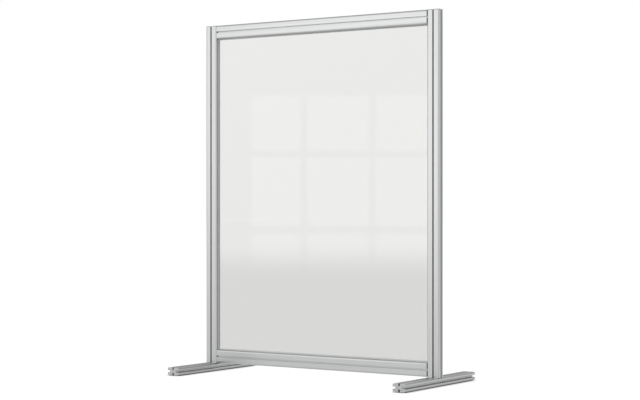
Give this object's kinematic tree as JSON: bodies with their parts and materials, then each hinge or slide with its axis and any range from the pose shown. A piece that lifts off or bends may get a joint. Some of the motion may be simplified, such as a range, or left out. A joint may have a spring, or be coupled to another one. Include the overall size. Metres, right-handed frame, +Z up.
{
  "type": "desk divider screen",
  "caption": "Free-standing desk divider: clear acrylic sheet in a frame of slotted aluminium extrusion, standing on bar feet laid square to the screen.",
  "frame": {"origin": "on the desk, under the middle of the screen", "axes": "+X along the screen towards the viewer's right, +Y to the back, +Z up; the pictured front faces -Y"},
  "size_m": [0.8, 0.38, 1.024],
  "materials": {
    "extrusion": "natural satin anodised",
    "clear_sheet": "clear polished acrylic",
    "gasket": "soft grey glazing gasket",
    "end_cap": "fine-grained grey moulding",
    "fastener": "bright zinc plate",
    "rubber_pad": "dark grey rubber"
  },
  "bodies": {
    "root": {"left_post": "extrusion", "right_post": "extrusion", "top_rail": "extrusion", "bottom_rail": "extrusion", "left_foot": "extrusion", "right_foot": "extrusion", "screen_panel": "clear_sheet", "top_gasket": "gasket", "right_gasket": "gasket", "bottom_gasket": "gasket", "left_gasket": "gasket", "left_post_cap": "end_cap", "left_foot_front_cap": "end_cap", "left_foot_rear_cap": "end_cap", "right_post_cap": "end_cap", "right_foot_front_cap": "end_cap", "right_foot_rear_cap": "end_cap", "rail_screws": "fastener", "foot_screws": "fastener", "foot_washers": "fastener", "left_foot_front_pad": "rubber_pad", "left_foot_rear_pad": "rubber_pad", "right_foot_front_pad": "rubber_pad", "right_foot_rear_pad": "rubber_pad"}
  },
  "joints": []
}
